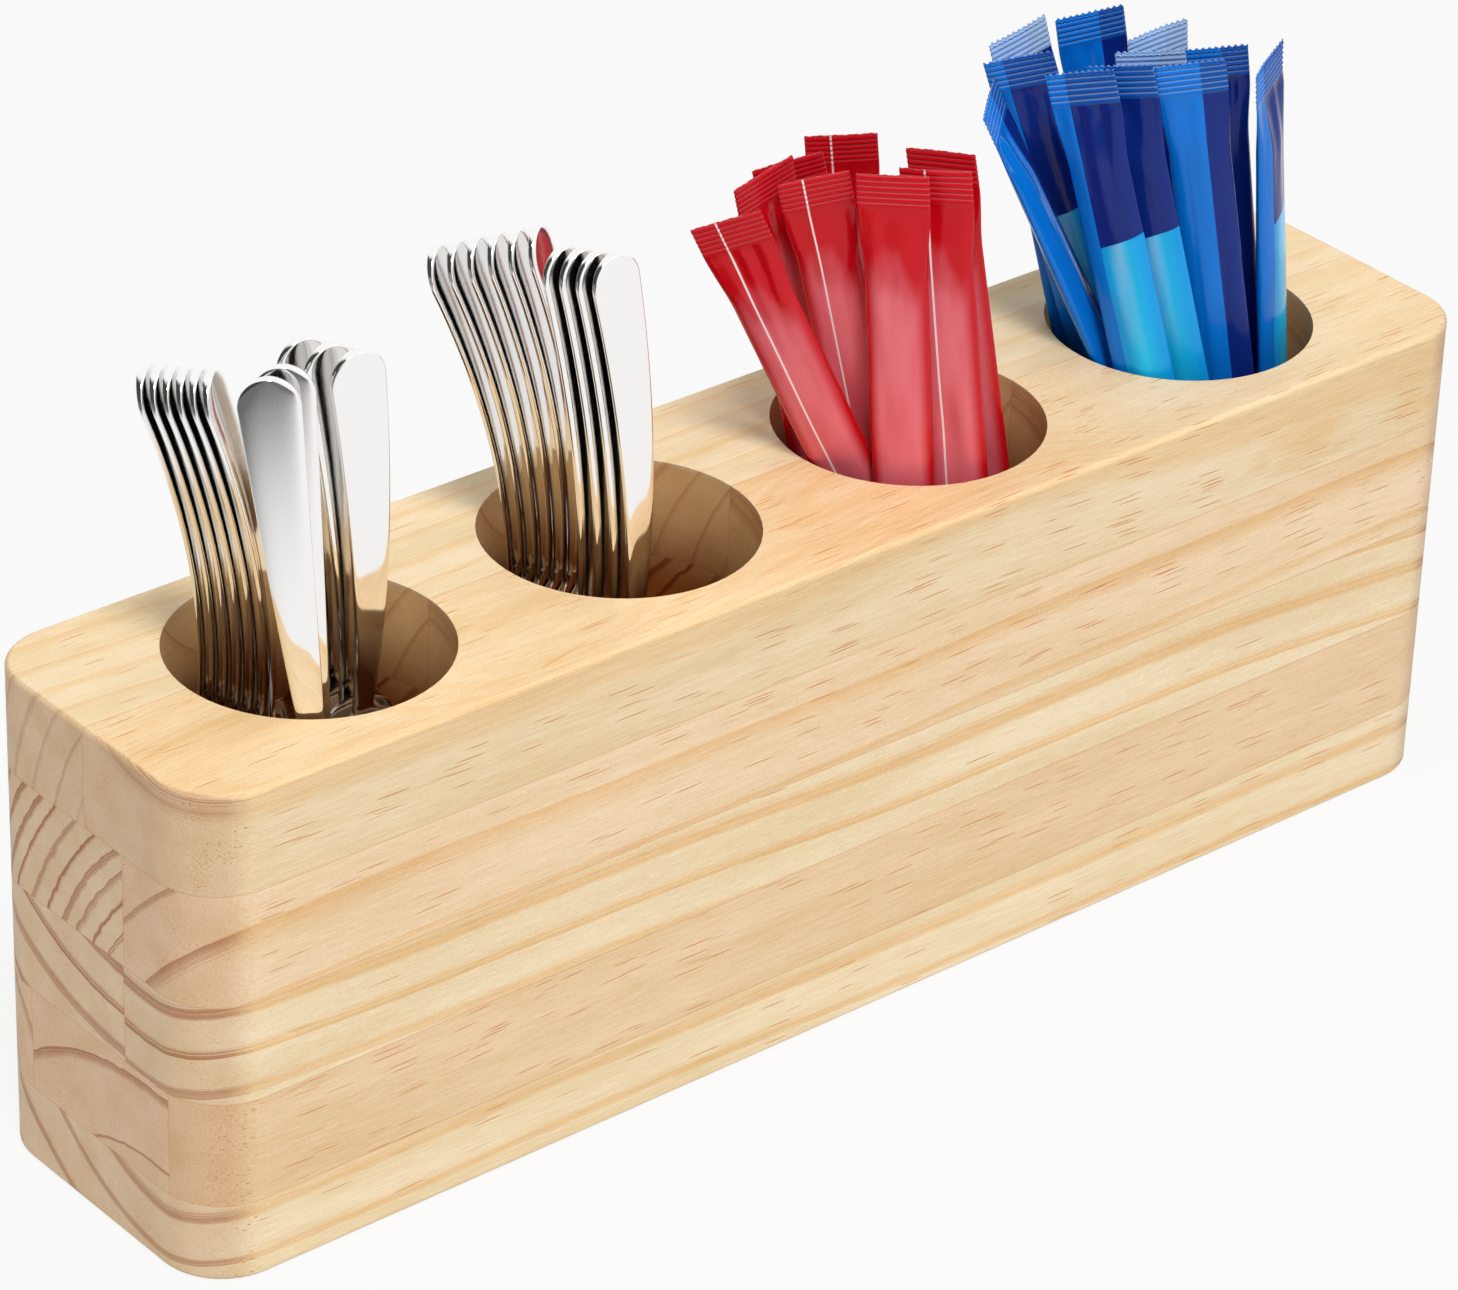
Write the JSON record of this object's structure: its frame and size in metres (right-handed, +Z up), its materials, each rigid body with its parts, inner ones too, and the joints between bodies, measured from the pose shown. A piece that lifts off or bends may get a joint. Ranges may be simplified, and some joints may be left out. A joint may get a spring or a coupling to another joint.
{
  "type": "cutlery dispenser",
  "caption": "Laminated pine block with a row of round wells that hold coffee spoons and stick sachets upright on a counter.",
  "frame": {"origin": "middle of the block's underside", "axes": "+X along the row of wells, from the spoons to the blue sachets; +Z up; -Y is the long front face"},
  "size_m": [0.349, 0.077, 0.1934],
  "materials": {
    "pine": "fine-sanded laminated pine under a clear satin oil",
    "spoon_steel": "mirror-polished stainless steel",
    "red_film": "glossy printed film, crimped seals",
    "blue_film": "glossy printed film, crimped seals"
  },
  "bodies": {
    "block": {"base_board": "pine", "fourth_course_front_strip": "pine", "fourth_course_middle_stave": "pine", "fourth_course_back_strip": "pine", "third_course_front_stave": "pine", "third_course_back_stave": "pine", "second_course_front_stave": "pine", "second_course_back_stave": "pine", "top_course_front_stave": "pine", "top_course_back_stave": "pine"},
    "well_1_spoon_1": {"well_1_spoon_1": "spoon_steel"},
    "well_1_spoon_2": {"well_1_spoon_2": "spoon_steel"},
    "well_1_spoon_3": {"well_1_spoon_3": "spoon_steel"},
    "well_1_spoon_4": {"well_1_spoon_4": "spoon_steel"},
    "well_1_spoon_5": {"well_1_spoon_5": "spoon_steel"},
    "well_1_spoon_6": {"well_1_spoon_6": "spoon_steel"},
    "well_1_spoon_7": {"well_1_spoon_7": "spoon_steel"},
    "well_1_spoon_8": {"well_1_spoon_8": "spoon_steel"},
    "well_1_spoon_9": {"well_1_spoon_9": "spoon_steel"},
    "well_1_spoon_10": {"well_1_spoon_10": "spoon_steel"},
    "well_1_spoon_11": {"well_1_spoon_11": "spoon_steel"},
    "well_2_spoon_1": {"well_2_spoon_1": "spoon_steel"},
    "well_2_spoon_2": {"well_2_spoon_2": "spoon_steel"},
    "well_2_spoon_3": {"well_2_spoon_3": "spoon_steel"},
    "well_2_spoon_4": {"well_2_spoon_4": "spoon_steel"},
    "well_2_spoon_5": {"well_2_spoon_5": "spoon_steel"},
    "well_2_spoon_6": {"well_2_spoon_6": "spoon_steel"},
    "well_2_spoon_7": {"well_2_spoon_7": "spoon_steel"},
    "well_2_spoon_8": {"well_2_spoon_8": "spoon_steel"},
    "well_2_spoon_9": {"well_2_spoon_9": "spoon_steel"},
    "well_2_spoon_10": {"well_2_spoon_10": "spoon_steel"},
    "red_sachet_1": {"red_sachet_1": "red_film"},
    "red_sachet_2": {"red_sachet_2": "red_film"},
    "red_sachet_3": {"red_sachet_3": "red_film"},
    "red_sachet_4": {"red_sachet_4": "red_film"},
    "red_sachet_5": {"red_sachet_5": "red_film"},
    "red_sachet_6": {"red_sachet_6": "red_film"},
    "red_sachet_7": {"red_sachet_7": "red_film"},
    "red_sachet_8": {"red_sachet_8": "red_film"},
    "blue_sachet_1": {"blue_sachet_1": "blue_film"},
    "blue_sachet_2": {"blue_sachet_2": "blue_film"},
    "blue_sachet_3": {"blue_sachet_3": "blue_film"},
    "blue_sachet_4": {"blue_sachet_4": "blue_film"},
    "blue_sachet_5": {"blue_sachet_5": "blue_film"},
    "blue_sachet_6": {"blue_sachet_6": "blue_film"},
    "blue_sachet_7": {"blue_sachet_7": "blue_film"},
    "blue_sachet_8": {"blue_sachet_8": "blue_film"},
    "blue_sachet_9": {"blue_sachet_9": "blue_film"},
    "blue_sachet_10": {"blue_sachet_10": "blue_film"},
    "blue_sachet_11": {"blue_sachet_11": "blue_film"}
  },
  "joints": [
    {"name": "well_1_spoon_1_lift", "type": "slide", "parent": "block", "child": "well_1_spoon_1", "axis": [-0.1558, -0.1289, 0.9793], "range_m": [0, 0.052]},
    {"name": "well_1_spoon_2_lift", "type": "slide", "parent": "block", "child": "well_1_spoon_2", "axis": [-0.1558, -0.1289, 0.9793], "range_m": [0, 0.052]},
    {"name": "well_1_spoon_3_lift", "type": "slide", "parent": "block", "child": "well_1_spoon_3", "axis": [-0.1558, -0.1289, 0.9793], "range_m": [0, 0.052]},
    {"name": "well_1_spoon_4_lift", "type": "slide", "parent": "block", "child": "well_1_spoon_4", "axis": [-0.1305, -0.0243, 0.9912], "range_m": [0, 0.052]},
    {"name": "well_1_spoon_5_lift", "type": "slide", "parent": "block", "child": "well_1_spoon_5", "axis": [-0.1305, -0.0243, 0.9912], "range_m": [0, 0.052]},
    {"name": "well_1_spoon_6_lift", "type": "slide", "parent": "block", "child": "well_1_spoon_6", "axis": [-0.2545, -0.1462, 0.956], "range_m": [0, 0.052]},
    {"name": "well_1_spoon_7_lift", "type": "slide", "parent": "block", "child": "well_1_spoon_7", "axis": [-0.2545, -0.1462, 0.956], "range_m": [0, 0.052]},
    {"name": "well_1_spoon_8_lift", "type": "slide", "parent": "block", "child": "well_1_spoon_8", "axis": [-0.2545, -0.1462, 0.956], "range_m": [0, 0.052]},
    {"name": "well_1_spoon_9_lift", "type": "slide", "parent": "block", "child": "well_1_spoon_9", "axis": [-0.2545, -0.1462, 0.956], "range_m": [0, 0.052]},
    {"name": "well_1_spoon_10_lift", "type": "slide", "parent": "block", "child": "well_1_spoon_10", "axis": [-0.2545, -0.1462, 0.956], "range_m": [0, 0.052]},
    {"name": "well_1_spoon_11_lift", "type": "slide", "parent": "block", "child": "well_1_spoon_11", "axis": [-0.2545, -0.1462, 0.956], "range_m": [0, 0.052]},
    {"name": "well_2_spoon_1_lift", "type": "slide", "parent": "block", "child": "well_2_spoon_1", "axis": [-0.1363, -0.0515, 0.9893], "range_m": [0, 0.052]},
    {"name": "well_2_spoon_2_lift", "type": "slide", "parent": "block", "child": "well_2_spoon_2", "axis": [-0.1363, -0.0515, 0.9893], "range_m": [0, 0.052]},
    {"name": "well_2_spoon_3_lift", "type": "slide", "parent": "block", "child": "well_2_spoon_3", "axis": [-0.1363, -0.0515, 0.9893], "range_m": [0, 0.052]},
    {"name": "well_2_spoon_4_lift", "type": "slide", "parent": "block", "child": "well_2_spoon_4", "axis": [-0.1363, -0.0515, 0.9893], "range_m": [0, 0.052]},
    {"name": "well_2_spoon_5_lift", "type": "slide", "parent": "block", "child": "well_2_spoon_5", "axis": [-0.2638, -0.0821, 0.9611], "range_m": [0, 0.052]},
    {"name": "well_2_spoon_6_lift", "type": "slide", "parent": "block", "child": "well_2_spoon_6", "axis": [-0.2638, -0.0821, 0.9611], "range_m": [0, 0.052]},
    {"name": "well_2_spoon_7_lift", "type": "slide", "parent": "block", "child": "well_2_spoon_7", "axis": [-0.2638, -0.0821, 0.9611], "range_m": [0, 0.052]},
    {"name": "well_2_spoon_8_lift", "type": "slide", "parent": "block", "child": "well_2_spoon_8", "axis": [-0.2638, -0.0821, 0.9611], "range_m": [0, 0.052]},
    {"name": "well_2_spoon_9_lift", "type": "slide", "parent": "block", "child": "well_2_spoon_9", "axis": [-0.2638, -0.0821, 0.9611], "range_m": [0, 0.052]},
    {"name": "well_2_spoon_10_lift", "type": "slide", "parent": "block", "child": "well_2_spoon_10", "axis": [-0.2638, -0.0821, 0.9611], "range_m": [0, 0.052]},
    {"name": "red_sachet_1_lift", "type": "slide", "parent": "block", "child": "red_sachet_1", "axis": [-0.4345, 0.066, 0.8983], "range_m": [0, 0.052]},
    {"name": "red_sachet_2_lift", "type": "slide", "parent": "block", "child": "red_sachet_2", "axis": [-0.3122, -0.1041, 0.9443], "range_m": [0, 0.052]},
    {"name": "red_sachet_3_lift", "type": "slide", "parent": "block", "child": "red_sachet_3", "axis": [-0.3383, -0.0917, 0.9366], "range_m": [0, 0.052]},
    {"name": "red_sachet_4_lift", "type": "slide", "parent": "block", "child": "red_sachet_4", "axis": [-0.2923, -0.0526, 0.9549], "range_m": [0, 0.052]},
    {"name": "red_sachet_5_lift", "type": "slide", "parent": "block", "child": "red_sachet_5", "axis": [-0.2357, -0.1355, 0.9623], "range_m": [0, 0.052]},
    {"name": "red_sachet_6_lift", "type": "slide", "parent": "block", "child": "red_sachet_6", "axis": [-0.1215, -0.0243, 0.9923], "range_m": [0, 0.052]},
    {"name": "red_sachet_7_lift", "type": "slide", "parent": "block", "child": "red_sachet_7", "axis": [-0.1513, -0.0061, 0.9885], "range_m": [0, 0.052]},
    {"name": "red_sachet_8_lift", "type": "slide", "parent": "block", "child": "red_sachet_8", "axis": [-0.2209, -0.0239, 0.975], "range_m": [0, 0.052]},
    {"name": "blue_sachet_1_lift", "type": "slide", "parent": "block", "child": "blue_sachet_1", "axis": [-0.3884, 0.1665, 0.9063], "range_m": [0, 0.052]},
    {"name": "blue_sachet_2_lift", "type": "slide", "parent": "block", "child": "blue_sachet_2", "axis": [-0.2429, 0.0652, 0.9678], "range_m": [0, 0.052]},
    {"name": "blue_sachet_3_lift", "type": "slide", "parent": "block", "child": "blue_sachet_3", "axis": [-0.2378, -0.0238, 0.971], "range_m": [0, 0.052]},
    {"name": "blue_sachet_4_lift", "type": "slide", "parent": "block", "child": "blue_sachet_4", "axis": [-0.1512, -0.0363, 0.9878], "range_m": [0, 0.052]},
    {"name": "blue_sachet_5_lift", "type": "slide", "parent": "block", "child": "blue_sachet_5", "axis": [-0.3078, 0.0755, 0.9485], "range_m": [0, 0.052]},
    {"name": "blue_sachet_6_lift", "type": "slide", "parent": "block", "child": "blue_sachet_6", "axis": [-0.1957, 0.1542, 0.9685], "range_m": [0, 0.052]},
    {"name": "blue_sachet_7_lift", "type": "slide", "parent": "block", "child": "blue_sachet_7", "axis": [-0.1963, 0.1309, 0.9718], "range_m": [0, 0.052]},
    {"name": "blue_sachet_8_lift", "type": "slide", "parent": "block", "child": "blue_sachet_8", "axis": [-0.2209, 0.0179, 0.9751], "range_m": [0, 0.052]},
    {"name": "blue_sachet_9_lift", "type": "slide", "parent": "block", "child": "blue_sachet_9", "axis": [-0.1863, 0.0361, 0.9818], "range_m": [0, 0.052]},
    {"name": "blue_sachet_10_lift", "type": "slide", "parent": "block", "child": "blue_sachet_10", "axis": [-0.215, -0.0478, 0.9754], "range_m": [0, 0.052]},
    {"name": "blue_sachet_11_lift", "type": "slide", "parent": "block", "child": "blue_sachet_11", "axis": [-0.1802, -0.0721, 0.981], "range_m": [0, 0.052]}
  ],
  "couplings": [
    {"joint": "well_1_spoon_2_lift", "follows": "well_1_spoon_1_lift", "ratio": 1},
    {"joint": "well_1_spoon_3_lift", "follows": "well_1_spoon_1_lift", "ratio": 1},
    {"joint": "well_1_spoon_5_lift", "follows": "well_1_spoon_4_lift", "ratio": 1},
    {"joint": "well_1_spoon_7_lift", "follows": "well_1_spoon_6_lift", "ratio": 1},
    {"joint": "well_1_spoon_8_lift", "follows": "well_1_spoon_6_lift", "ratio": 1},
    {"joint": "well_1_spoon_9_lift", "follows": "well_1_spoon_6_lift", "ratio": 1},
    {"joint": "well_1_spoon_10_lift", "follows": "well_1_spoon_6_lift", "ratio": 1},
    {"joint": "well_1_spoon_11_lift", "follows": "well_1_spoon_6_lift", "ratio": 1},
    {"joint": "well_2_spoon_2_lift", "follows": "well_2_spoon_1_lift", "ratio": 1},
    {"joint": "well_2_spoon_3_lift", "follows": "well_2_spoon_1_lift", "ratio": 1},
    {"joint": "well_2_spoon_4_lift", "follows": "well_2_spoon_1_lift", "ratio": 1},
    {"joint": "well_2_spoon_6_lift", "follows": "well_2_spoon_5_lift", "ratio": 1},
    {"joint": "well_2_spoon_7_lift", "follows": "well_2_spoon_5_lift", "ratio": 1},
    {"joint": "well_2_spoon_8_lift", "follows": "well_2_spoon_5_lift", "ratio": 1},
    {"joint": "well_2_spoon_9_lift", "follows": "well_2_spoon_5_lift", "ratio": 1},
    {"joint": "well_2_spoon_10_lift", "follows": "well_2_spoon_5_lift", "ratio": 1}
  ]
}
